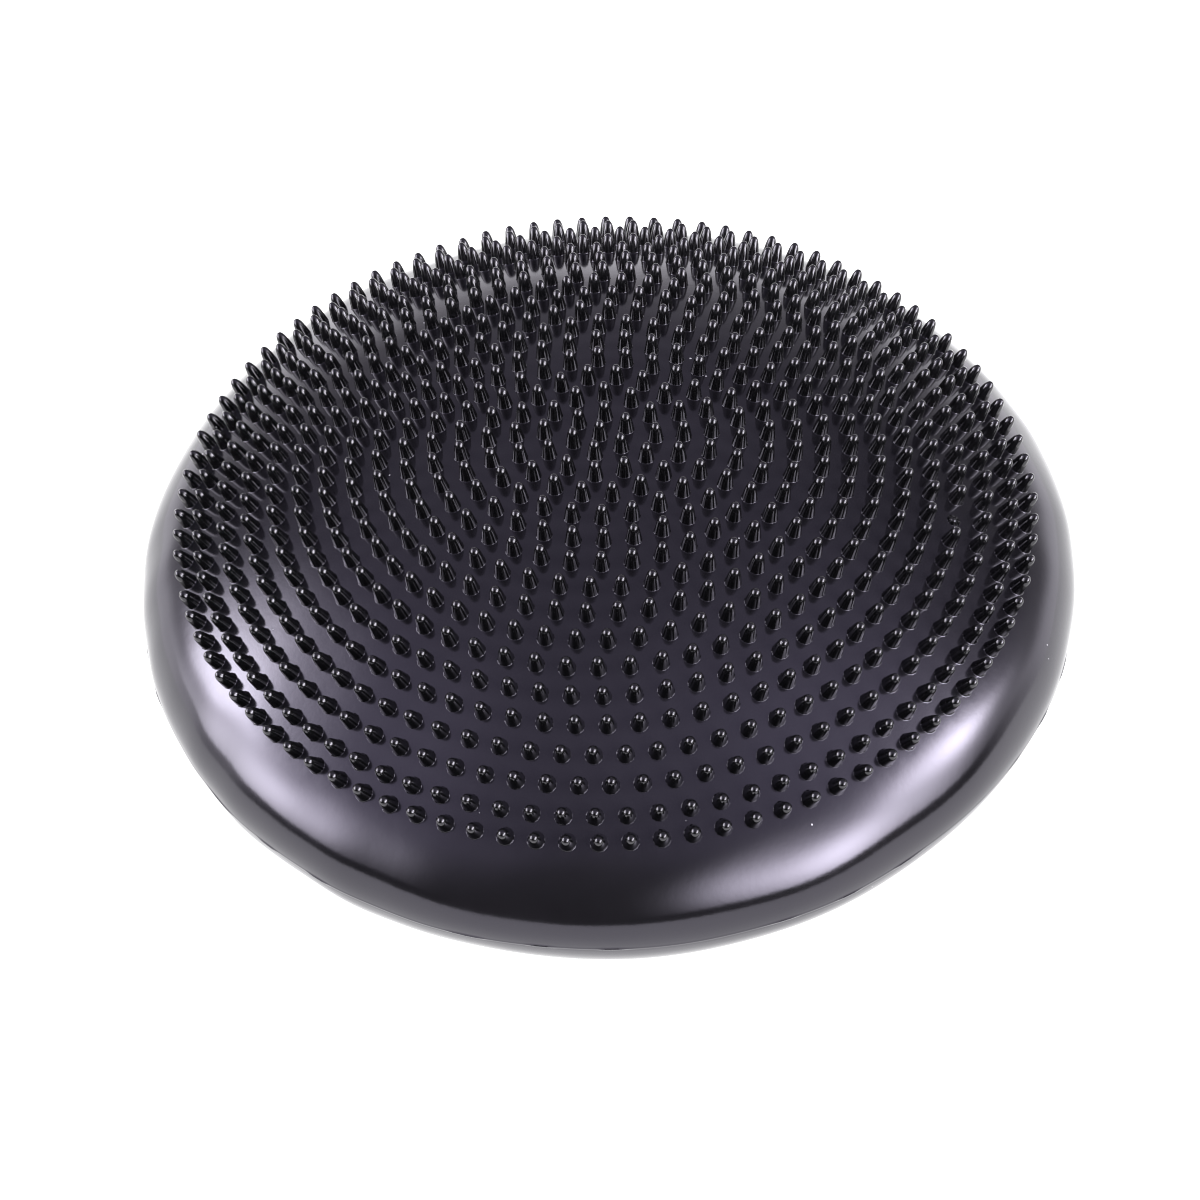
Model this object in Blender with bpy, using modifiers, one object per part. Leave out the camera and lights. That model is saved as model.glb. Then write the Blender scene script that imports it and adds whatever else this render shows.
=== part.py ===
# Wobble cushion: an inflated round PVC cushion with a nubbed upper face.
#
# Frame: metres, +Z up, origin at the centre of the flat patch that the
# cushion rests on.  +Z is the axis of the round body.
#
# The bladder is one hollow moulding.  It is drawn here as four zones of the
# same skin, so that the zones can move against each other the way the
# soft skin does when somebody stands on it.

import math

import bpy
import bmesh
from mathutils import Matrix, Vector

# ---------------------------------------------------------------- dimensions
MM = 0.001

R_EQUATOR = 165.0        # widest radius, at the moulding line
Z_EQUATOR = 44.0         # height of the moulding line
R_SHOULDER = 148.0       # where the domed faces roll over into the rim
Z_SHOULDER = 68.5        # upper skin at the shoulder
CROWN = 30.0             # rise of the upper skin from shoulder to centre
DOME_POWER = 2.66        # how flat the middle of the upper dome is
R_FOOT = 60.0            # flat patch under the cushion
Z_HEEL = 19.5            # lower skin at the shoulder radius
HEEL_SLOPE = 2.0 * Z_HEEL / (R_SHOULDER - R_FOOT)
RIM_STIFF = 10.0         # vertical handle of the rim curve, at the equator
RIM_REACH = 0.5          # share of the rim's width that the flat handle takes
SKIN = 3.5               # skin thickness
GAP = 0.3                # clearance between neighbouring solids

NUB_ROWS = 16            # rings of nubs round the centre nub
NUBS_PER_ROW = 6         # each ring has this many nubs more than the last
NUB_ROW_PITCH = 9.39     # distance from ring to ring, along the dome
NUB_LAST_PITCH = 7.85    # the outermost ring sits a little closer
NUB_HEIGHT = 7.2
NUB_ROOT_R = 2.75        # radius where the nub meets the skin
NUB_ROOT_DEPTH = 1.0     # how far its root runs into the skin

VALVE_Y = 40.0           # valve axis, from the centre of the flat patch
VALVE_HOLE_R = 5.0

SEG = 48                 # facets round the skin
RIM_STEPS = 8            # facets along each half of the rim
SEG_VALVE = 20

PVC = (0.022, 0.020, 0.024, 1.0)
RUBBER = (0.030, 0.030, 0.032, 1.0)

# ---------------------------------------------------------------- clean start
for ob in list(bpy.data.objects):
    bpy.data.objects.remove(ob, do_unlink=True)

parts = bpy.data.collections.new("wobble_cushion")
cutters = bpy.data.collections.new("cutters")
bpy.context.scene.collection.children.link(parts)
bpy.context.scene.collection.children.link(cutters)


def material(name, color, roughness):
    mat = bpy.data.materials.new(name)
    mat.use_nodes = True
    bsdf = mat.node_tree.nodes["Principled BSDF"]
    bsdf.inputs["Base Color"].default_value = color
    bsdf.inputs["Roughness"].default_value = roughness
    bsdf.inputs["Metallic"].default_value = 0.0
    return mat


# ---------------------------------------------------------------- profiles
def bezier(p0, p1, p2, p3, n):
    pts = []
    for i in range(n + 1):
        t = i / n
        a, b, c, d = (1 - t) ** 3, 3 * t * (1 - t) ** 2, 3 * t * t * (1 - t), t ** 3
        pts.append((a * p0[0] + b * p1[0] + c * p2[0] + d * p3[0],
                    a * p0[1] + b * p1[1] + c * p2[1] + d * p3[1]))
    return pts


def upper_dome(r):
    return Z_SHOULDER + CROWN * (1.0 - (r / R_SHOULDER) ** DOME_POWER)


def upper_slope(r):
    return -CROWN * DOME_POWER / R_SHOULDER * (r / R_SHOULDER) ** (DOME_POWER - 1.0)


def lower_dome(r):
    if r <= R_FOOT:
        return 0.0
    return Z_HEEL * ((r - R_FOOT) / (R_SHOULDER - R_FOOT)) ** 2


def upper_rim(n):
    """Shoulder down to the equator."""
    w = (R_EQUATOR - R_SHOULDER) * RIM_REACH
    return bezier((R_SHOULDER, Z_SHOULDER),
                  (R_SHOULDER + w, Z_SHOULDER + w * upper_slope(R_SHOULDER)),
                  (R_EQUATOR, Z_EQUATOR + RIM_STIFF),
                  (R_EQUATOR, Z_EQUATOR), n)


def lower_rim(n):
    """Equator down to the heel of the lower face."""
    w = (R_EQUATOR - R_SHOULDER) * RIM_REACH
    return bezier((R_EQUATOR, Z_EQUATOR),
                  (R_EQUATOR, Z_EQUATOR - RIM_STIFF),
                  (R_SHOULDER + w, Z_HEEL + w * HEEL_SLOPE),
                  (R_SHOULDER, Z_HEEL), n)


def inward(pts, dist):
    """Points moved by dist to the right of the walking direction, so into
    the body for a profile walked over the top and down the outside."""
    out = []
    for i, p in enumerate(pts):
        a = pts[max(i - 1, 0)]
        b = pts[min(i + 1, len(pts) - 1)]
        dx, dz = b[0] - a[0], b[1] - a[1]
        ln = math.hypot(dx, dz)
        out.append((p[0] + dz / ln * dist, p[1] - dx / ln * dist))
    return out


def trim(pts, start, end):
    """Shorten a polyline by start and end millimetres at its two ends."""
    def cut(points, d):
        points = list(points)
        while d > 0:
            (ax, az), (bx, bz) = points[0], points[1]
            ln = math.hypot(bx - ax, bz - az)
            if ln > d:
                f = d / ln
                points[0] = (ax + (bx - ax) * f, az + (bz - az) * f)
                return points
            d -= ln
            points.pop(0)
        return points
    pts = cut(pts, start)
    return cut(pts[::-1], end)[::-1]


# ---------------------------------------------------------------- solids
def turned(name, loop, segments, mat, closed=True, collection=parts, y=0.0):
    """A solid of revolution about a vertical axis, from a profile in mm.
    The loop runs down the outside first.  A closed loop makes a ring; an open
    one starts and ends on the axis and makes a disc-like solid."""
    mesh = bpy.data.meshes.new(name)
    verts = [(r * MM, 0.0, z * MM) for r, z in loop]
    edges = [(i, i + 1) for i in range(len(loop) - 1)]
    if closed:
        edges.append((len(loop) - 1, 0))
    mesh.from_pydata(verts, edges, [])
    ob = bpy.data.objects.new(name, mesh)
    collection.objects.link(ob)
    ob.location = (0.0, y * MM, 0.0)
    scr = ob.modifiers.new("turn", 'SCREW')
    scr.axis = 'Z'
    scr.angle = math.radians(360.0)
    scr.steps = segments
    scr.render_steps = segments
    scr.use_merge_vertices = True
    scr.merge_threshold = 0.00001
    scr.use_smooth_shade = True
    scr.use_normal_calculate = False
    ob.data.materials.append(mat)
    return ob


pvc_top = material("pvc_top", PVC, 0.22)
pvc_shoulder = material("pvc_shoulder", PVC, 0.25)
pvc_side = material("pvc_side", PVC, 0.25)
pvc_bottom = material("pvc_bottom", PVC, 0.30)
pvc_seat = material("pvc_seat", PVC, 0.35)
plug_mat = material("valve_rubber", RUBBER, 0.60)

# The whole skin as two half profiles, outside and inside, walked over the top
# and down the outside.  Neighbouring zones share the same cut across the skin.
face_r = [0.0, 34.0, 66.0, 94.0, 118.0, 136.0]
upper_out = [(r, upper_dome(r)) for r in face_r] + upper_rim(RIM_STEPS)
heel_r = [132.0, 114.0, 96.0, 78.0, R_FOOT, 0.0]
lower_out = lower_rim(RIM_STEPS) + [(r, lower_dome(r)) for r in heel_r]
skin_out = upper_out + lower_out[1:]
skin_in = inward(skin_out, SKIN)
skin_in[0] = (0.0, skin_out[0][1] - SKIN)
skin_in[-2] = (R_FOOT, SKIN)
skin_in[-1] = (0.0, SKIN)
SHOULDER = len(face_r)
EQUATOR = SHOULDER + RIM_STEPS
HEEL = EQUATOR + RIM_STEPS
LAST = len(skin_out) - 1
BAND = SHOULDER + RIM_STEPS // 2          # where the shoulder band meets the wall
# The cut at the heel is upright, so that the wall can slide down past it.
skin_in[HEEL] = (R_SHOULDER, Z_HEEL + SKIN / math.cos(math.atan(HEEL_SLOPE)))


def zone(first, last):
    """The loop round one zone of the skin, half a gap short at each cut."""
    a = GAP / 2 if first > 0 else 0.0
    b = GAP / 2 if last < LAST else 0.0
    return (trim(skin_out[first:last + 1], a, b)
            + trim(skin_in[first:last + 1], a, b)[::-1])


# Upper face: a domed panel of skin.
top_face = turned("top_face", zone(0, SHOULDER), SEG, pvc_top, closed=False)

# Nubs: rings of slender points standing square to the dome, moulded in one
# with the upper face.
def radius_at(distance):
    """Radius of the point on the dome at a distance from its middle."""
    r, gone, step = 0.0, 0.0, 0.1
    while gone < distance:
        gone += step * math.hypot(1.0, upper_slope(r + step / 2))
        r += step
    return r - (gone - distance)


nub_mesh = bpy.data.meshes.new("nubs")
bm = bmesh.new()
cone_h = NUB_HEIGHT + NUB_ROOT_DEPTH
root_r = NUB_ROOT_R * cone_h / NUB_HEIGHT
for row in range(NUB_ROWS + 1):
    last = NUB_LAST_PITCH - NUB_ROW_PITCH if row == NUB_ROWS else 0.0
    r = radius_at(NUB_ROW_PITCH * row + last)
    count = max(1, NUBS_PER_ROW * row)
    lean = math.atan(-upper_slope(r))
    mid = cone_h / 2 - NUB_ROOT_DEPTH
    for i in range(count):
        a = 2.0 * math.pi * (i + 0.37 * row) / count
        place = (Matrix.Rotation(a, 4, 'Z')
                 @ Matrix.Translation(Vector((r * MM, 0.0, upper_dome(r) * MM)))
                 @ Matrix.Rotation(lean, 4, 'Y')
                 @ Matrix.Translation(Vector((0.0, 0.0, mid * MM)))
                 @ Matrix.Rotation(math.radians(45.0), 4, 'Z'))
        bmesh.ops.create_cone(bm, cap_ends=True, segments=4,
                              radius1=root_r * MM, radius2=0.0,
                              depth=cone_h * MM, matrix=place)
bm.to_mesh(nub_mesh)
bm.free()
nubs = bpy.data.objects.new("nubs", nub_mesh)
cutters.objects.link(nubs)
nubs.display_type = 'WIRE'
nubs.hide_render = True
join = top_face.modifiers.new("nubs", 'BOOLEAN')
join.operation = 'UNION'
join.solver = 'EXACT'
join.object = nubs

# The rolled rim: a band of skin at the shoulder, and the side wall below it,
# which holds the moulding line.
turned("shoulder_band", zone(SHOULDER, BAND), SEG, pvc_shoulder)
turned("side_wall", zone(BAND, HEEL), SEG, pvc_side)

# Lower face: a flat patch to rest on, and round it a shallow dome, with a
# round hole for the valve.
loop = zone(HEEL, LAST)
half = len(loop) // 2
bottom = turned("bottom_face", loop[half:] + loop[:half], SEG, pvc_bottom, closed=False)

hole_mesh = bpy.data.meshes.new("valve_hole")
bm = bmesh.new()
bmesh.ops.create_cone(bm, cap_ends=True, segments=SEG_VALVE,
                      radius1=VALVE_HOLE_R * MM, radius2=VALVE_HOLE_R * MM,
                      depth=4 * SKIN * MM)
bm.to_mesh(hole_mesh)
bm.free()
hole = bpy.data.objects.new("valve_hole", hole_mesh)
cutters.objects.link(hole)
hole.location = (0.0, VALVE_Y * MM, 0.0)
hole.display_type = 'WIRE'
hole.hide_render = True
drill = bottom.modifiers.new("valve_hole", 'BOOLEAN')
drill.operation = 'DIFFERENCE'
drill.solver = 'EXACT'
drill.object = hole

# Valve seat: a collar with a flange bonded inside the lower face.
seat_low = 1.6
seat_loop = [(6.0, 16.0), (6.0, SKIN + GAP + 2.3), (9.0, SKIN + GAP + 2.0),
             (9.0, SKIN + GAP), (VALVE_HOLE_R - GAP, SKIN + GAP),
             (VALVE_HOLE_R - GAP, seat_low), (3.2, seat_low), (3.2, 16.0)]
turned("valve_seat", seat_loop, SEG_VALVE, pvc_seat, y=VALVE_Y)

# Valve plug: a soft rubber plug with a needle hole down its axis.
plug_loop = [(2.2, 15.6), (2.9, 14.6), (2.9, seat_low - GAP), (4.2, seat_low - GAP),
             (4.2, 0.6), (3.9, 0.3), (0.4, 0.3), (0.4, 15.6)]
turned("valve_plug", plug_loop, SEG_VALVE, plug_mat, y=VALVE_Y)

for ob in parts.objects:
    if ob.type == 'MESH':
        ob.data.shade_smooth()
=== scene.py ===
# Looks for the wobble cushion: a black, glossy, inflated PVC cushion with
# rings of blunt nubs on its upper face.  Everything is in the CAD frame,
# in metres; the profile below is written in millimetres.

import math
import random

import bpy
import numpy as np
from mathutils import Matrix, Vector, geometry


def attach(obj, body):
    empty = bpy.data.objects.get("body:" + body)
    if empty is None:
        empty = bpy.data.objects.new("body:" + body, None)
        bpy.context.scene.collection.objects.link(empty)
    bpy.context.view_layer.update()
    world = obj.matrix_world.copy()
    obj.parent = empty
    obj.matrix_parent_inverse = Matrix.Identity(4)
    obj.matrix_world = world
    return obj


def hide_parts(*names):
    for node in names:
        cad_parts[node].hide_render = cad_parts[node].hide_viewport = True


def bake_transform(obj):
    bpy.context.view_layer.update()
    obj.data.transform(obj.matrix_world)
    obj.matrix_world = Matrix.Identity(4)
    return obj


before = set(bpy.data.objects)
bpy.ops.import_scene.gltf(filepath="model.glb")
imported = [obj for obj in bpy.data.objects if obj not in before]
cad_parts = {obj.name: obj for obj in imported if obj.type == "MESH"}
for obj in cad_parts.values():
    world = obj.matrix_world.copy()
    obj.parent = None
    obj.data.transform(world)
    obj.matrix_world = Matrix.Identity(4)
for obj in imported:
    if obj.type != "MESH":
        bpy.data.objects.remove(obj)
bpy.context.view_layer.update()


MM = 0.001

# ------------------------------------------------------------------ dimensions
R_EQUATOR, Z_EQUATOR = 165.0, 44.0
R_SHOULDER, Z_SHOULDER = 148.0, 68.5
CROWN, DOME_POWER = 30.0, 2.66
R_FOOT, Z_HEEL = 60.0, 19.5
RIM_STIFF, RIM_REACH = 10.0, 0.5

NUB_ROWS = 16                       # rings round the centre nub
NUBS_PER_ROW = 6                    # each ring has six nubs more than the last
NUB_ROW_PITCH, NUB_LAST_PITCH = 9.39, 7.85
# How far each ring is turned, in degrees: the mould's rings aren't lined up.
RING_TURN = (0, 17.0, 22.7, 15.8, 13.6, 4.9, 8.0, 7.7, 1.8, 2.4, 3.1, 0.6,
             3.5, 3.3, 3.0, 2.6, 0.8)
STUMP = (13, 74)                    # one nub that never filled in the mould
NUB_SEG = 12

# Heights where the skin hands over from one body to the next
Z_TOP, Z_MID, Z_LOW, Z_FLAT = 67.0, 50.0, 26.0, 1.0
SEG = 288

VALVE_Y, VALVE_HOLE_R = 40.0, 5.0

rng = random.Random(20)


# ------------------------------------------------------------------ skin shape
def upper_dome(r):
    return Z_SHOULDER + CROWN * (1.0 - (r / R_SHOULDER) ** DOME_POWER)


def upper_slope(r):
    return -CROWN * DOME_POWER / R_SHOULDER * (r / R_SHOULDER) ** (DOME_POWER - 1.0)


def bezier(p, n):
    t = np.linspace(0.0, 1.0, n)[:, None]
    p = np.array(p, float)
    return ((1 - t) ** 3 * p[0] + 3 * t * (1 - t) ** 2 * p[1]
            + 3 * t * t * (1 - t) * p[2] + t ** 3 * p[3])


def profile():
    """The skin's outer half profile, dense, from the top of the axis over
    the rim to the bottom of the axis, as (r, z) in millimetres."""
    w = (R_EQUATOR - R_SHOULDER) * RIM_REACH
    heel = 2.0 * Z_HEEL / (R_SHOULDER - R_FOOT)
    r = np.linspace(0.0, R_SHOULDER, 600)
    dome = np.stack([r, upper_dome(r)], 1)
    up = bezier([(R_SHOULDER, Z_SHOULDER),
                 (R_SHOULDER + w, Z_SHOULDER + w * upper_slope(R_SHOULDER)),
                 (R_EQUATOR, Z_EQUATOR + RIM_STIFF), (R_EQUATOR, Z_EQUATOR)], 400)
    down = bezier([(R_EQUATOR, Z_EQUATOR), (R_EQUATOR, Z_EQUATOR - RIM_STIFF),
                   (R_SHOULDER + w, Z_HEEL + w * heel), (R_SHOULDER, Z_HEEL)], 400)
    r = np.linspace(R_SHOULDER, R_FOOT, 300)
    under = np.stack([r, Z_HEEL * ((r - R_FOOT) / (R_SHOULDER - R_FOOT)) ** 2], 1)
    r = np.linspace(R_FOOT, 0.0, 100)
    flat = np.stack([r, 0 * r], 1)
    return np.concatenate([dome, up[1:], down[1:], under[1:], flat[1:]])


PROF = profile()
STEP = np.hypot(*np.diff(PROF, axis=0).T)
ARC = np.concatenate([[0.0], np.cumsum(STEP)])
TANG = np.gradient(PROF, ARC, axis=0)
TANG /= np.linalg.norm(TANG, axis=1)[:, None]
NORM = np.stack([-TANG[:, 1], TANG[:, 0]], 1)      # outward


def at_arc(s):
    s = np.asarray(s, float)
    pos = np.stack([np.interp(s, ARC, PROF[:, 0]), np.interp(s, ARC, PROF[:, 1])], -1)
    n = np.stack([np.interp(s, ARC, NORM[:, 0]), np.interp(s, ARC, NORM[:, 1])], -1)
    return pos, n / np.linalg.norm(n, axis=-1, keepdims=True)


S_SHOULDER = ARC[599]
S_EQUATOR = ARC[599 + 399]


def arc_at_radius_top(r):
    """Arc length on the upper side for a radius up to the equator's."""
    k = 599 + 399
    return np.interp(r, PROF[:k + 1, 0], ARC[:k + 1])


def arc_at_height(z):
    """Arc length of a height between the shoulder and the flat patch."""
    k0, k1 = 560, len(ARC) - 100
    return float(np.interp(-z, -PROF[k0:k1, 1], ARC[k0:k1]))


# Slow unevenness of inflated vinyl: a few long waves, under half a millimetre.
WAVES = []
for amp, length in ((0.20, 150.0), (0.16, 105.0), (0.12, 78.0), (0.09, 60.0),
                    (0.06, 46.0), (0.05, 37.0)):
    for _ in range(2):
        d = np.array([rng.gauss(0, 1), rng.gauss(0, 1), rng.gauss(0, 1)])
        d /= np.linalg.norm(d)
        WAVES.append((amp, d * 2 * math.pi / length, rng.uniform(0, 2 * math.pi)))


# The rolled rim is thinner and puckers a little more than the two faces.
PUCKERS = []
for amp, length in ((0.10, 46.0), (0.08, 33.0), (0.045, 22.0)):
    for _ in range(2):
        d = np.array([rng.gauss(0, 1), rng.gauss(0, 1), rng.gauss(0, 0.6)])
        d /= np.linalg.norm(d)
        PUCKERS.append((amp, d * 2 * math.pi / length, rng.uniform(0, 2 * math.pi)))


def unevenness(p):
    """Displacement along the skin's normal, in mm, at points p (n, 3)."""
    out = np.zeros(len(p))
    for amp, k, ph in WAVES:
        out += amp * np.sin(p @ k + ph)
    rim = np.clip((np.hypot(p[:, 0], p[:, 1]) - 146.0) / 10.0, 0.0, 1.0)
    rim = rim * rim * (3.0 - 2.0 * rim)
    for amp, k, ph in PUCKERS:
        out += rim * amp * np.sin(p @ k + ph)
    # none on the flat patch that the cushion rests on
    return out * np.clip((p[:, 2] - 1.0) / 14.0, 0.0, 1.0)


def skin(s, a):
    """Skin points in mm for arc lengths s and azimuths a (both arrays)."""
    pos, n = at_arc(s)
    c, t = np.cos(a), np.sin(a)
    p = np.stack([pos[:, 0] * c, pos[:, 0] * t, pos[:, 1]], 1)
    nn = np.stack([n[:, 0] * c, n[:, 0] * t, n[:, 1]], 1)
    return p + nn * unevenness(p)[:, None]


def skin_frame(s, a):
    """Skin points and true outward normals of the uneven skin."""
    h = 0.4
    p = skin(s, a)
    ds = skin(s + h, a) - skin(s - h, a)
    r = np.maximum(np.hypot(p[:, 0], p[:, 1]), 1.0)
    da = skin(s, a + h / r) - skin(s, a - h / r)
    n = np.cross(ds, da)
    ln = np.linalg.norm(n, axis=1, keepdims=True)
    n = n / np.maximum(ln, 1e-12)
    n[(s < 1.0)] = (0.0, 0.0, 1.0)
    return p, n


# ------------------------------------------------------------------ mesh helpers
def make_mesh(name, verts, faces, normals, attrs, mat):
    """verts and rest attribute in mm -> a smooth mesh with its own normals."""
    me = bpy.data.meshes.new(name)
    me.from_pydata((np.asarray(verts) * MM).tolist(), [], faces)
    me.validate()
    me.update()
    me.shade_smooth()
    for key, values in attrs.items():
        values = np.asarray(values, np.float32)
        if values.ndim == 1:
            at = me.attributes.new(key, 'FLOAT', 'POINT')
            at.data.foreach_set("value", values)
        else:
            at = me.attributes.new(key, 'FLOAT_VECTOR', 'POINT')
            at.data.foreach_set("vector", values.ravel())
    if normals is not None:
        me.normals_split_custom_set_from_vertices(np.asarray(normals).tolist())
    me.materials.append(mat)
    ob = bpy.data.objects.new(name, me)
    bpy.context.scene.collection.objects.link(ob)
    return ob


def turned(name, s_list, mat, bump=None):
    """A ring of skin between the first and last arc length."""
    s_list = np.asarray(s_list, float)
    a1 = np.arange(SEG) * 2 * math.pi / SEG
    s = np.repeat(s_list, SEG)
    a = np.tile(a1, len(s_list))
    p, n = skin_frame(s, a)
    if bump is not None:
        p, n = bump(p, n, s, a, len(s_list))
    faces = []
    for i in range(len(s_list) - 1):
        for j in range(SEG):
            k = (j + 1) % SEG
            faces.append((i * SEG + j, (i + 1) * SEG + j, (i + 1) * SEG + k, i * SEG + k))
    return make_mesh(name, p, faces, n, {"rest": p * MM, "nub": np.zeros(len(p))}, mat)


# ------------------------------------------------------------------ materials
def new_material(name):
    mat = bpy.data.materials.new(name)
    mat.use_nodes = True
    nt = mat.node_tree
    return mat, nt, nt.nodes["Principled BSDF"]


def math_node(nt, op, a, b=None, clamp=False):
    m = nt.nodes.new("ShaderNodeMath")
    m.operation = op
    m.use_clamp = clamp
    for i, v in enumerate((a, b)):
        if v is None:
            continue
        if isinstance(v, (int, float)):
            m.inputs[i].default_value = v
        else:
            nt.links.new(v, m.inputs[i])
    return m.outputs[0]


def noise_node(nt, vec, scale, detail, rough=0.5, distortion=0.0):
    n = nt.nodes.new("ShaderNodeTexNoise")
    n.inputs["Scale"].default_value = scale
    n.inputs["Detail"].default_value = detail
    n.inputs["Roughness"].default_value = rough
    n.inputs["Distortion"].default_value = distortion
    nt.links.new(vec, n.inputs["Vector"])
    return n.outputs["Fac"]


def ramp(nt, fac, stops):
    r = nt.nodes.new("ShaderNodeValToRGB")
    el = r.color_ramp.elements
    while len(el) < len(stops):
        el.new(0.5)
    for e, (pos, col) in zip(el, stops):
        e.position = pos
        e.color = (*col, 1.0) if len(col) == 3 else col
    nt.links.new(fac, r.inputs["Fac"])
    return r.outputs["Color"]


def pvc_material(name="pvc_black"):
    """Soft black vinyl: a satin mould finish between the nubs, shinier nubs
    with painted shade in their darker base colour, faint cloudiness, fine scuffs and a little dust."""
    mat, nt, bsdf = new_material(name)
    L = nt.links
    rest = nt.nodes.new("ShaderNodeAttribute")
    rest.attribute_name = "rest"
    vec = rest.outputs["Vector"]
    nub = nt.nodes.new("ShaderNodeAttribute")
    nub.attribute_name = "nub"
    nub_f = nub.outputs["Fac"]

    cloud = noise_node(nt, vec, 28.0, 3.0, 0.55)
    fine = noise_node(nt, vec, 900.0, 2.0, 0.6)
    mid = noise_node(nt, vec, 190.0, 3.0, 0.6)

    base = ramp(nt, cloud, [(0.30, (0.0040, 0.0038, 0.0046)), (0.70, (0.0056, 0.0053, 0.0064))])
    # the nubs get a darker, neutral black than the skin between them: painted shade for their steep
    # sides, which mirror the dark room and the nubs around them
    skin_and_nub_shade = nt.nodes.new("ShaderNodeMix")
    skin_and_nub_shade.data_type = 'RGBA'
    L.new(nub_f, skin_and_nub_shade.inputs["Factor"])
    L.new(base, skin_and_nub_shade.inputs[6])
    skin_and_nub_shade.inputs[7].default_value = (0.0020, 0.0020, 0.0022, 1.0)

    # dust: sparse pale specks, each a fraction of a millimetre
    vor = nt.nodes.new("ShaderNodeTexVoronoi")
    vor.inputs["Scale"].default_value = 210.0
    L.new(vec, vor.inputs["Vector"])
    cell = nt.nodes.new("ShaderNodeSeparateColor")
    L.new(vor.outputs["Color"], cell.inputs[0])
    size = math_node(nt, 'MULTIPLY', cell.outputs[1], 0.060)
    size = math_node(nt, 'ADD', size, 0.030)
    inside = math_node(nt, 'LESS_THAN', vor.outputs["Distance"], size)
    keep = math_node(nt, 'GREATER_THAN', cell.outputs[0], 0.94)
    speck = math_node(nt, 'MULTIPLY', inside, keep)
    dust = nt.nodes.new("ShaderNodeMix")
    dust.data_type = 'RGBA'
    L.new(speck, dust.inputs["Factor"])
    L.new(skin_and_nub_shade.outputs[2], dust.inputs[6])
    dust.inputs[7].default_value = (0.42, 0.42, 0.43, 1.0)
    L.new(dust.outputs[2], bsdf.inputs["Base Color"])

    # roughness: satin skin, polished nubs, cloudy variation, scuffs
    r = math_node(nt, 'MULTIPLY', cloud, 0.06)
    r = math_node(nt, 'ADD', r, 0.075)
    r2 = math_node(nt, 'MULTIPLY', mid, 0.04)
    r = math_node(nt, 'ADD', r, r2)
    drop = math_node(nt, 'MULTIPLY', nub_f, -0.09)
    r = math_node(nt, 'ADD', r, drop)
    rs = math_node(nt, 'MULTIPLY', speck, 0.6)
    r = math_node(nt, 'ADD', r, rs, clamp=True)
    L.new(r, bsdf.inputs["Roughness"])

    # relief: faint pebble of the mould and soft dents
    b1 = nt.nodes.new("ShaderNodeBump")
    b1.inputs["Strength"].default_value = 0.10
    b1.inputs["Distance"].default_value = 0.00025
    L.new(mid, b1.inputs["Height"])
    b2 = nt.nodes.new("ShaderNodeBump")
    b2.inputs["Strength"].default_value = 0.06
    b2.inputs["Distance"].default_value = 0.00008
    L.new(fine, b2.inputs["Height"])
    L.new(b1.outputs["Normal"], b2.inputs["Normal"])
    L.new(b2.outputs["Normal"], bsdf.inputs["Normal"])

    # the film of plasticiser gives the skin's sheen a violet cast
    tint = nt.nodes.new("ShaderNodeMix")
    tint.data_type = 'RGBA'
    L.new(nub_f, tint.inputs["Factor"])
    tint.inputs[6].default_value = (0.88, 0.84, 1.0, 1.0)
    tint.inputs[7].default_value = (0.95, 0.93, 1.0, 1.0)
    L.new(tint.outputs[2], bsdf.inputs["Specular Tint"])
    bsdf.inputs["IOR"].default_value = 1.5
    bsdf.inputs["Specular IOR Level"].default_value = 0.6
    return mat


PVC = pvc_material()


# ------------------------------------------------------------------ nubbed face
# (radius, height) from the foot of the fillet to the tip
NUB_PROFILE = [(2.92, 0.00), (2.75, 0.08), (2.66, 0.36), (2.48, 1.70), (2.26, 3.10),
               (2.02, 4.40), (1.74, 5.50), (1.36, 6.32), (0.78, 6.98), (0.0, 7.20)]


def nub_normals():
    """Outward profile normals (radial, axial) of the nub, from a smooth curve."""
    p = np.array(NUB_PROFILE)
    d = np.gradient(p, axis=0)
    d[0] = (-1.0, 0.0)
    d[-1] = (-1.0, 0.0)
    n = np.stack([d[:, 1], -d[:, 0]], 1)
    return n / np.linalg.norm(n, axis=1)[:, None]


def nub_sites():
    """(row, number, azimuth, radius) of every nub."""
    sites = [(0, 0, 0.0, 0.0)]
    for row in range(1, NUB_ROWS + 1):
        along = NUB_ROW_PITCH * row
        if row == NUB_ROWS:
            along += NUB_LAST_PITCH - NUB_ROW_PITCH
        r = float(np.interp(along, ARC, PROF[:, 0]))
        count = NUBS_PER_ROW * row
        for i in range(count):
            sites.append((row, i, 2 * math.pi * i / count + math.radians(RING_TURN[row]), r))
    return sites


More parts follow.
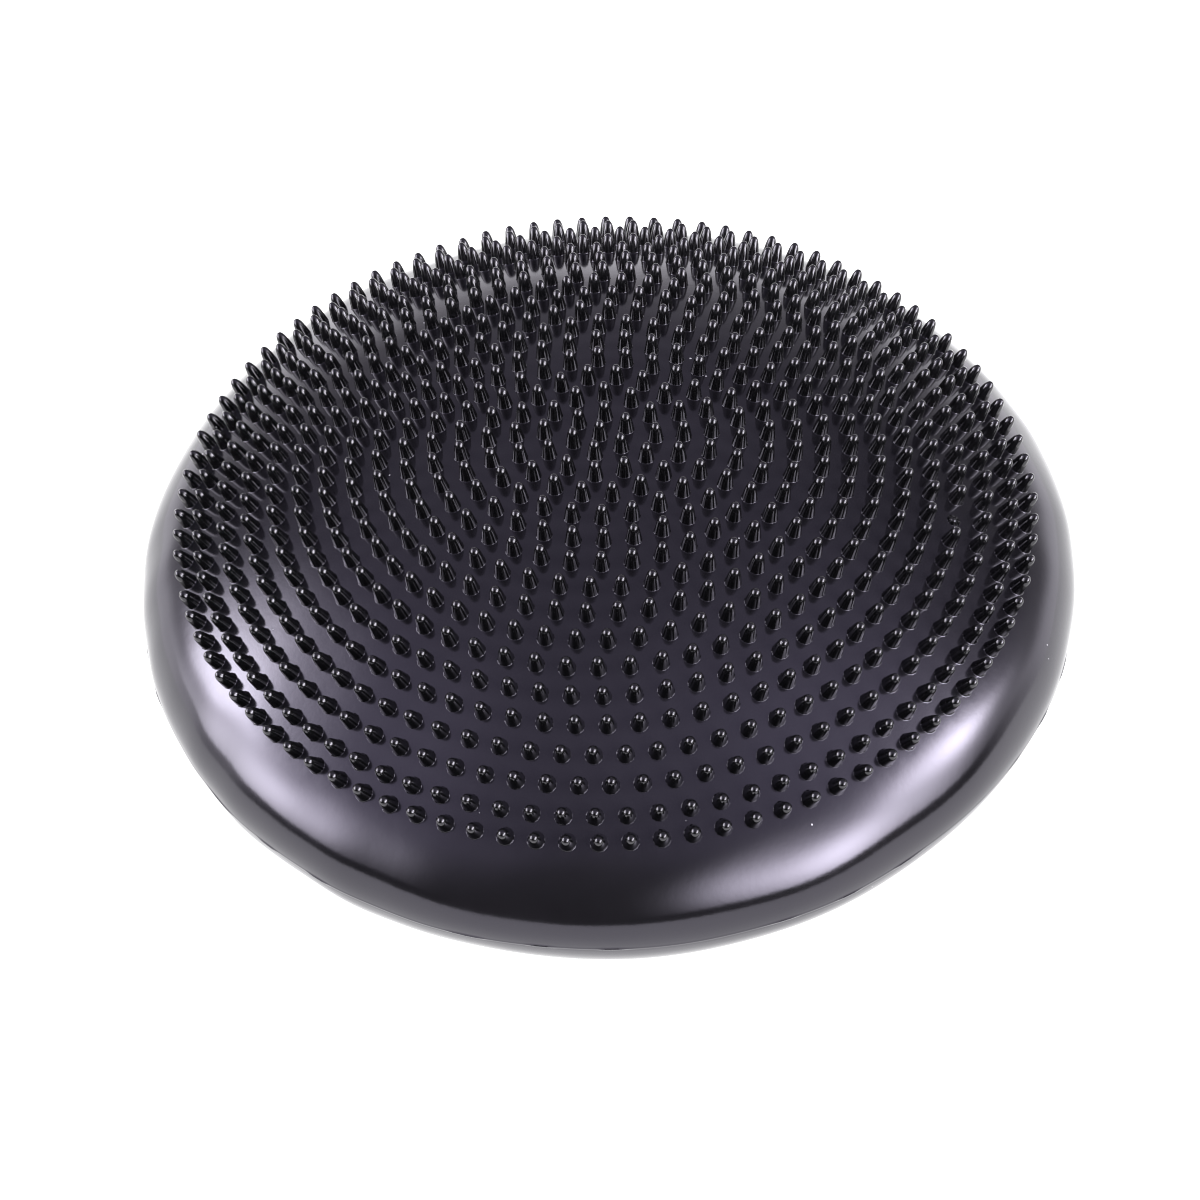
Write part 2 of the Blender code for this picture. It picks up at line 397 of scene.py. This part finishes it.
def build_top():
    sites = nub_sites()
    a = np.array([s[2] for s in sites])
    r = np.array([s[3] for s in sites])
    p0, n0 = skin_frame(arc_at_radius_top(r), a)
    prof = np.array(NUB_PROFILE)
    pn = nub_normals()
    m = NUB_SEG
    rings = len(prof) - 1                      # the last entry is the tip
    verts, norms, nubf, flat = [], [], [], []
    faces, edges = [], []
    for i in range(len(sites)):
        axis = Vector(n0[i])
        axis = (axis + Vector((rng.gauss(0, .012), rng.gauss(0, .012), rng.gauss(0, .012)))).normalized()
        e1 = Vector((-math.sin(a[i]), math.cos(a[i]), 0.0))
        e1 = (e1 - axis * e1.dot(axis)).normalized()
        e2 = axis.cross(e1)
        hs = 1.0 + rng.gauss(0, .015)
        ws = 1.0 + rng.gauss(0, .015)
        if sites[i][:2] == STUMP:
            hs, ws = 0.10, 0.85
        spin = rng.uniform(0, 2 * math.pi)
        e1, e2, ax, c = (np.array(v) for v in (e1, e2, axis, p0[i]))
        t = spin + np.arange(m) * 2 * math.pi / m
        start = len(verts)
        # foot ring, laid on the skin
        foot = c + prof[0, 0] * ws * (np.cos(t)[:, None] * e1 + np.sin(t)[:, None] * e2)
        fr = np.hypot(foot[:, 0], foot[:, 1])
        fa = np.arctan2(foot[:, 1], foot[:, 0])
        fp, fn = skin_frame(arc_at_radius_top(fr), fa)
        verts.extend(fp)
        norms.extend(fn)
        nubf.extend([0.0] * m)
        flat.extend(fp[:, :2])
        edges.extend((start + j, start + (j + 1) % m) for j in range(m))
        for k in range(1, rings):
            rad = prof[k, 0] * ws
            ring = c + ax * prof[k, 1] * hs + rad * (np.cos(t)[:, None] * e1 + np.sin(t)[:, None] * e2)
            nn = pn[k, 0] * (np.cos(t)[:, None] * e1 + np.sin(t)[:, None] * e2) + pn[k, 1] * ax
            verts.extend(ring)
            norms.extend(nn)
            # nub mask: rises over the foot to 1; it sets the nubs' shinier finish and their painted
            # shade
            nubf.extend([min(1.0, 0.35 * k)] * m)
            base, up = start + (k - 1) * m, start + k * m
            for j in range(m):
                q = (j + 1) % m
                faces.append((base + j, base + q, up + q, up + j))
        verts.append(c + ax * prof[-1, 1] * hs)
        norms.append(ax)
        nubf.append(1.0)
        tip = len(verts) - 1
        up = start + (rings - 1) * m
        for j in range(m):
            faces.append((up + j, up + (j + 1) % m, tip))
    # the plain skin between the nubs: a triangulation of the face with a
    # round hole for each nub
    foot_ids = [i for s in range(len(sites)) for i in
                range(s * ((rings) * m + 1), s * ((rings) * m + 1) + m)]
    pts = [Vector((float(x), float(y))) for x, y in flat]
    cdt_edges = []
    for s in range(len(sites)):
        cdt_edges.extend((s * m + j, s * m + (j + 1) % m) for j in range(m))
    rim_s = arc_at_height(Z_TOP)
    ra = np.arange(SEG) * 2 * math.pi / SEG
    rp, rn = skin_frame(np.full(SEG, rim_s), ra)
    rim_start = len(verts)
    verts.extend(rp)
    norms.extend(rn)
    nubf.extend([0.0] * SEG)
    first = len(pts)
    pts.extend(Vector((float(x), float(y))) for x, y in rp[:, :2])
    cdt_edges.extend((first + j, first + (j + 1) % SEG) for j in range(SEG))
    ids = foot_ids + list(range(rim_start, rim_start + SEG))
    out_v, _, out_f, orig, _, _ = geometry.delaunay_2d_cdt(pts, cdt_edges, [], 0, 1e-5)
    back = [ids[o[0]] for o in orig]
    owner = [o[0] // m if o[0] < first else -1 - o[0] for o in orig]
    for f in out_f:
        own = {owner[i] for i in f}
        if len(own) == 1 and next(iter(own)) >= 0:
            continue                             # under a nub
        faces.append(tuple(back[i] for i in f))
    verts = np.array(verts)
    return make_mesh("nubbed_face", verts, faces, norms,
                     {"rest": verts * MM, "nub": np.array(nubf)}, PVC)


top = build_top()
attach(top, "top")
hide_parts("top_face")


# ------------------------------------------------------------------ rolled rim
def arc_steps(z_a, z_b, n):
    return np.linspace(arc_at_height(z_a), arc_at_height(z_b), n)


def flash(p, n, s, a, rows):
    """The moulding line: a fine ridge, broken where the flash was trimmed."""
    d = s - arc_at_height(Z_EQUATOR)
    gate = 0.5 + 0.5 * np.sin(a * 37 + 1.3 * np.sin(a * 11)) * np.sin(a * 5 + 0.7)
    height = 0.08 + 0.24 * np.clip((gate - 0.55) * 4.0, 0.0, 1.0)
    q = p + n * (height * np.exp(-(d / 0.42) ** 2))[:, None]
    # normals follow the ridge across the rim
    g = q.reshape(rows, SEG, 3)
    du = np.gradient(g, axis=0)
    dv = (np.roll(g, -1, 1) - np.roll(g, 1, 1)) / 2
    nn = np.cross(du, dv)
    nn /= np.maximum(np.linalg.norm(nn, axis=2, keepdims=True), 1e-12)
    nn = nn.reshape(-1, 3)
    nn = np.where((np.abs(d) > 1.6)[:, None], n, nn)
    return q, nn


rim_a = turned("rim_shoulder", arc_steps(Z_TOP, Z_MID, 20), PVC)
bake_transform(rim_a)
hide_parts("shoulder_band")

s_eq = arc_at_height(Z_EQUATOR)
near = s_eq + np.array([-1.6, -1.1, -0.75, -0.5, -0.3, -0.12, 0.0, 0.12, 0.3, 0.5, 0.75, 1.1, 1.6])
s_b = np.concatenate([np.linspace(arc_at_height(Z_MID), near[0], 5)[:-1], near,
                      np.linspace(near[-1], arc_at_height(Z_LOW), 12)[1:]])
rim_b = turned("rim_side", s_b, PVC, bump=flash)
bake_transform(rim_b)
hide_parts("side_wall")

rim_c = turned("rim_heel", arc_steps(Z_LOW, Z_FLAT, 40), PVC)
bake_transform(rim_c)


# ------------------------------------------------------------------ underside
def build_underside():
    """The flat patch and its start of slope, with the valve hole."""
    s0 = arc_at_height(Z_FLAT)
    k = len(ARC) - 100
    s1 = ARC[k]
    pts2, pts3, nrm, cdt_edges = [], [], [], []
    for si, s in enumerate(np.linspace(s0, s1, 5)):
        a = np.arange(SEG) * 2 * math.pi / SEG
        p, n = skin_frame(np.full(SEG, s), a)
        if si == 0:
            cdt_edges += [(j, (j + 1) % SEG) for j in range(SEG)]
        pts3.extend(p)
        nrm.extend(n)
    m = 48
    for rad, z in ((VALVE_HOLE_R + 1.4, 0.0), (VALVE_HOLE_R + 0.5, 0.12), (VALVE_HOLE_R, 0.6)):
        t = np.arange(m) * 2 * math.pi / m
        start = len(pts3)
        pts3.extend(np.stack([rad * np.cos(t), VALVE_Y + rad * np.sin(t), z + 0 * t], 1))
        slope = {0.0: 0.0, 0.12: 0.5, 0.6: 0.95}[z]
        nrm.extend(np.stack([-slope * np.cos(t), -slope * np.sin(t),
                             -math.sqrt(1 - slope * slope) + 0 * t], 1))
        if rad == VALVE_HOLE_R:
            hole = start
            cdt_edges += [(start + j, start + (j + 1) % m) for j in range(m)]
    pts3 = np.array(pts3)
    _, _, out_f, orig, _, _ = geometry.delaunay_2d_cdt(
        [Vector((float(x), float(y))) for x, y in pts3[:, :2]], cdt_edges, [], 0, 1e-5)
    faces = []
    for f in out_f:
        ids = [orig[i][0] for i in f]
        if all(i >= hole for i in ids):
            continue
        faces.append(tuple(ids[::-1]))
    # the wall of the hole
    pts3 = list(pts3)
    low = hole
    start = len(pts3)
    t = np.arange(m) * 2 * math.pi / m
    pts3.extend(np.stack([VALVE_HOLE_R * np.cos(t), VALVE_Y + VALVE_HOLE_R * np.sin(t), 3.3 + 0 * t], 1))
    nrm.extend(np.stack([-np.cos(t), -np.sin(t), 0 * t], 1))
    for j in range(m):
        q = (j + 1) % m
        faces.append((low + j, start + j, start + q, low + q))
    pts3 = np.array(pts3)
    return make_mesh("underside", pts3, faces, nrm,
                     {"rest": pts3 * MM, "nub": np.zeros(len(pts3))}, PVC)


under = build_underside()
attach(under, "base")
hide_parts("bottom_face")

# ------------------------------------------------------------------ valve
def valve_material(name, rough):
    mat, nt, bsdf = new_material(name)
    co = nt.nodes.new("ShaderNodeTexCoord")
    n = noise_node(nt, co.outputs["Object"], 1500.0, 2.0)
    col = ramp(nt, n, [(0.3, (0.012, 0.012, 0.013)), (0.7, (0.022, 0.022, 0.023))])
    nt.links.new(col, bsdf.inputs["Base Color"])
    r = math_node(nt, 'MULTIPLY', n, 0.2)
    r = math_node(nt, 'ADD', r, rough)
    nt.links.new(r, bsdf.inputs["Roughness"])
    return mat


for node, rough in (("valve_seat", 0.28), ("valve_plug", 0.5)):
    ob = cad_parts[node]
    ob.data.materials.clear()
    ob.data.materials.append(valve_material(node + "_rubber", rough))

# ------------------------------------------------------------------ studio
def stage_material():
    """A lit white sweep, nearly shadowless because most of it is its own glow; under the cushion the
    glow is dimmed as a painted contact shadow.
    """
    mat, nt, bsdf = new_material("studio_floor")
    bsdf.inputs["Base Color"].default_value = (0.10, 0.10, 0.10, 1)
    bsdf.inputs["Roughness"].default_value = 0.9
    bsdf.inputs["Specular IOR Level"].default_value = 0.0
    bsdf.inputs["Emission Color"].default_value = (1.0, 1.0, 1.0, 1)
    # painted contact shadow: the floor's glow fades out under the cushion, where hardly any light would
    # reach it
    co = nt.nodes.new("ShaderNodeTexCoord")
    r = nt.nodes.new("ShaderNodeVectorMath")
    r.operation = 'LENGTH'
    nt.links.new(co.outputs["Object"], r.inputs[0])
    m = nt.nodes.new("ShaderNodeMapRange")
    m.interpolation_type = 'SMOOTHSTEP'
    nt.links.new(r.outputs["Value"], m.inputs["Value"])
    m.inputs["From Min"].default_value = 0.075
    m.inputs["From Max"].default_value = 0.185
    m.inputs["To Min"].default_value = 0.02
    m.inputs["To Max"].default_value = 1.7
    nt.links.new(m.outputs["Result"], bsdf.inputs["Emission Strength"])
    return mat


bpy.ops.mesh.primitive_circle_add(vertices=96, radius=0.60, fill_type='NGON', location=(0, 0, -0.0002))
floor = bpy.context.object
floor.name = "floor"
floor.data.materials.append(stage_material())

world = bpy.data.worlds.new("studio")
bpy.context.scene.world = world
world.use_nodes = True
wnt = world.node_tree
for n in list(wnt.nodes):
    wnt.nodes.remove(n)
w_dir = wnt.nodes.new("ShaderNodeTexCoord").outputs["Generated"]


def toward(azimuth, elevation):
    az, el = math.radians(azimuth), math.radians(elevation)
    return Vector((math.cos(el) * math.cos(az), math.cos(el) * math.sin(az), math.sin(el)))


# azimuth, elevation, tightness, radiance
LOBES = ((190, 18, 17, 13.5), (162, 33, 60, 18.0), (-12, 30, 70, 20.0), (-12, 28, 22, 5.0),
         (-46, 17, 18, 20.0))


def lobe(azimuth, elevation, power, strength):
    """A soft glow on the studio's walls round one direction."""
    d = wnt.nodes.new("ShaderNodeVectorMath")
    d.operation = 'DOT_PRODUCT'
    wnt.links.new(w_dir, d.inputs[0])
    d.inputs[1].default_value = toward(azimuth, elevation)
    m = math_node(wnt, 'MAXIMUM', d.outputs["Value"], 0.0)
    m = math_node(wnt, 'POWER', m, power)
    return math_node(wnt, 'MULTIPLY', m, strength)


def fade(value, start, end, strength=1.0):
    """0 at start, rising smoothly to strength at end."""
    m = wnt.nodes.new("ShaderNodeMapRange")
    m.interpolation_type = 'SMOOTHSTEP'
    wnt.links.new(value, m.inputs["Value"])
    m.inputs["From Min"].default_value = start
    m.inputs["From Max"].default_value = end
    m.inputs["To Min"].default_value = 0.0
    m.inputs["To Max"].default_value = strength
    return m.outputs["Result"]


sep = wnt.nodes.new("ShaderNodeSeparateXYZ")
wnt.links.new(w_dir, sep.inputs[0])
w_y, w_z = sep.outputs["Y"], sep.outputs["Z"]
# the white sweep rises behind the cushion, not on the camera's side
behind = fade(w_y, -0.30, 0.35)
sweep = math_node(wnt, 'ADD', fade(w_z, 0.30, 0.02, 1.8), fade(w_z, 0.60, 0.20, 0.5))
glow = math_node(wnt, 'MULTIPLY', sweep, behind)
# big soft lights left, right and front right, above the table's edge only
lights = lobe(*LOBES[0])
for args in LOBES[1:]:
    lights = math_node(wnt, 'ADD', lights, lobe(*args))
lights = math_node(wnt, 'MULTIPLY', lights, fade(w_z, 0.02, 0.07))
glow = math_node(wnt, 'ADD', glow, lights)


def coloured(value, colour):
    m = wnt.nodes.new("ShaderNodeVectorMath")
    m.operation = 'SCALE'
    m.inputs[0].default_value = colour
    wnt.links.new(value, m.inputs["Scale"])
    return m.outputs[0]


def added(a, b):
    m = wnt.nodes.new("ShaderNodeVectorMath")
    m.operation = 'ADD'
    wnt.links.new(a, m.inputs[0])
    if isinstance(b, tuple):
        m.inputs[1].default_value = b
    else:
        wnt.links.new(b, m.inputs[1])
    return m.outputs[0]


# cool light bounced off the walls and the ceiling
bounce = lobe(182, 48, 6, 1.3)
for args in ((-8, 60, 8, 1.2), (90, 42, 8, 0.40), (90, 85, 2, 0.08)):
    bounce = math_node(wnt, 'ADD', bounce, lobe(*args))
room = added(coloured(glow, (0.97, 0.95, 1.0)), coloured(bounce, (0.82, 0.76, 1.0)))
room = added(room, (0.040, 0.040, 0.032))
w_light = wnt.nodes.new("ShaderNodeBackground")
wnt.links.new(room, w_light.inputs["Color"])
w_seen = wnt.nodes.new("ShaderNodeBackground")
w_seen.inputs["Color"].default_value = (1.0, 1.0, 1.0, 1)
w_out = wnt.nodes.new("ShaderNodeOutputWorld")
w_mix = wnt.nodes.new("ShaderNodeMixShader")
w_path = wnt.nodes.new("ShaderNodeLightPath")
wnt.links.new(w_path.outputs["Is Camera Ray"], w_mix.inputs[0])
wnt.links.new(w_light.outputs[0], w_mix.inputs[1])
wnt.links.new(w_seen.outputs[0], w_mix.inputs[2])
wnt.links.new(w_mix.outputs[0], w_out.inputs[0])


# ------------------------------------------------------------------ camera
FRAME_W, FOCAL, DIST = 1200.0, 1904.0, 659.3
ELEV, ROLL = math.radians(49.01), math.radians(-3.18)
TX, TY = -3.1, -40.05
Z_AIM = Z_EQUATOR + 32.0
ce, se = math.cos(ELEV), math.sin(ELEV)
fwd = Vector((0, ce, -se))
right = Vector((1, 0, 0))
up = Vector((0, se, ce))
cam_pos = Vector((TX, 0, Z_AIM)) - fwd * DIST + up * TY
c, s = math.cos(ROLL), math.sin(ROLL)
cr = c * right + s * up
cu = -s * right + c * up
cam_data = bpy.data.cameras.new("camera")
cam_data.sensor_width = 36.0
cam_data.lens = FOCAL / FRAME_W * 36.0
cam_data.clip_start = 0.01
cam_data.clip_end = 100.0
cam = bpy.data.objects.new("camera", cam_data)
m3 = Matrix((cr, cu, -fwd)).transposed()
cam.matrix_world = Matrix.Translation(cam_pos * MM) @ m3.to_4x4()
bpy.context.scene.collection.objects.link(cam)
bpy.context.scene.camera = cam
bpy.context.scene.view_settings.view_transform = 'Standard'
bpy.context.scene.cycles.use_denoising = True
bpy.context.scene.cycles.filter_width = 1.1
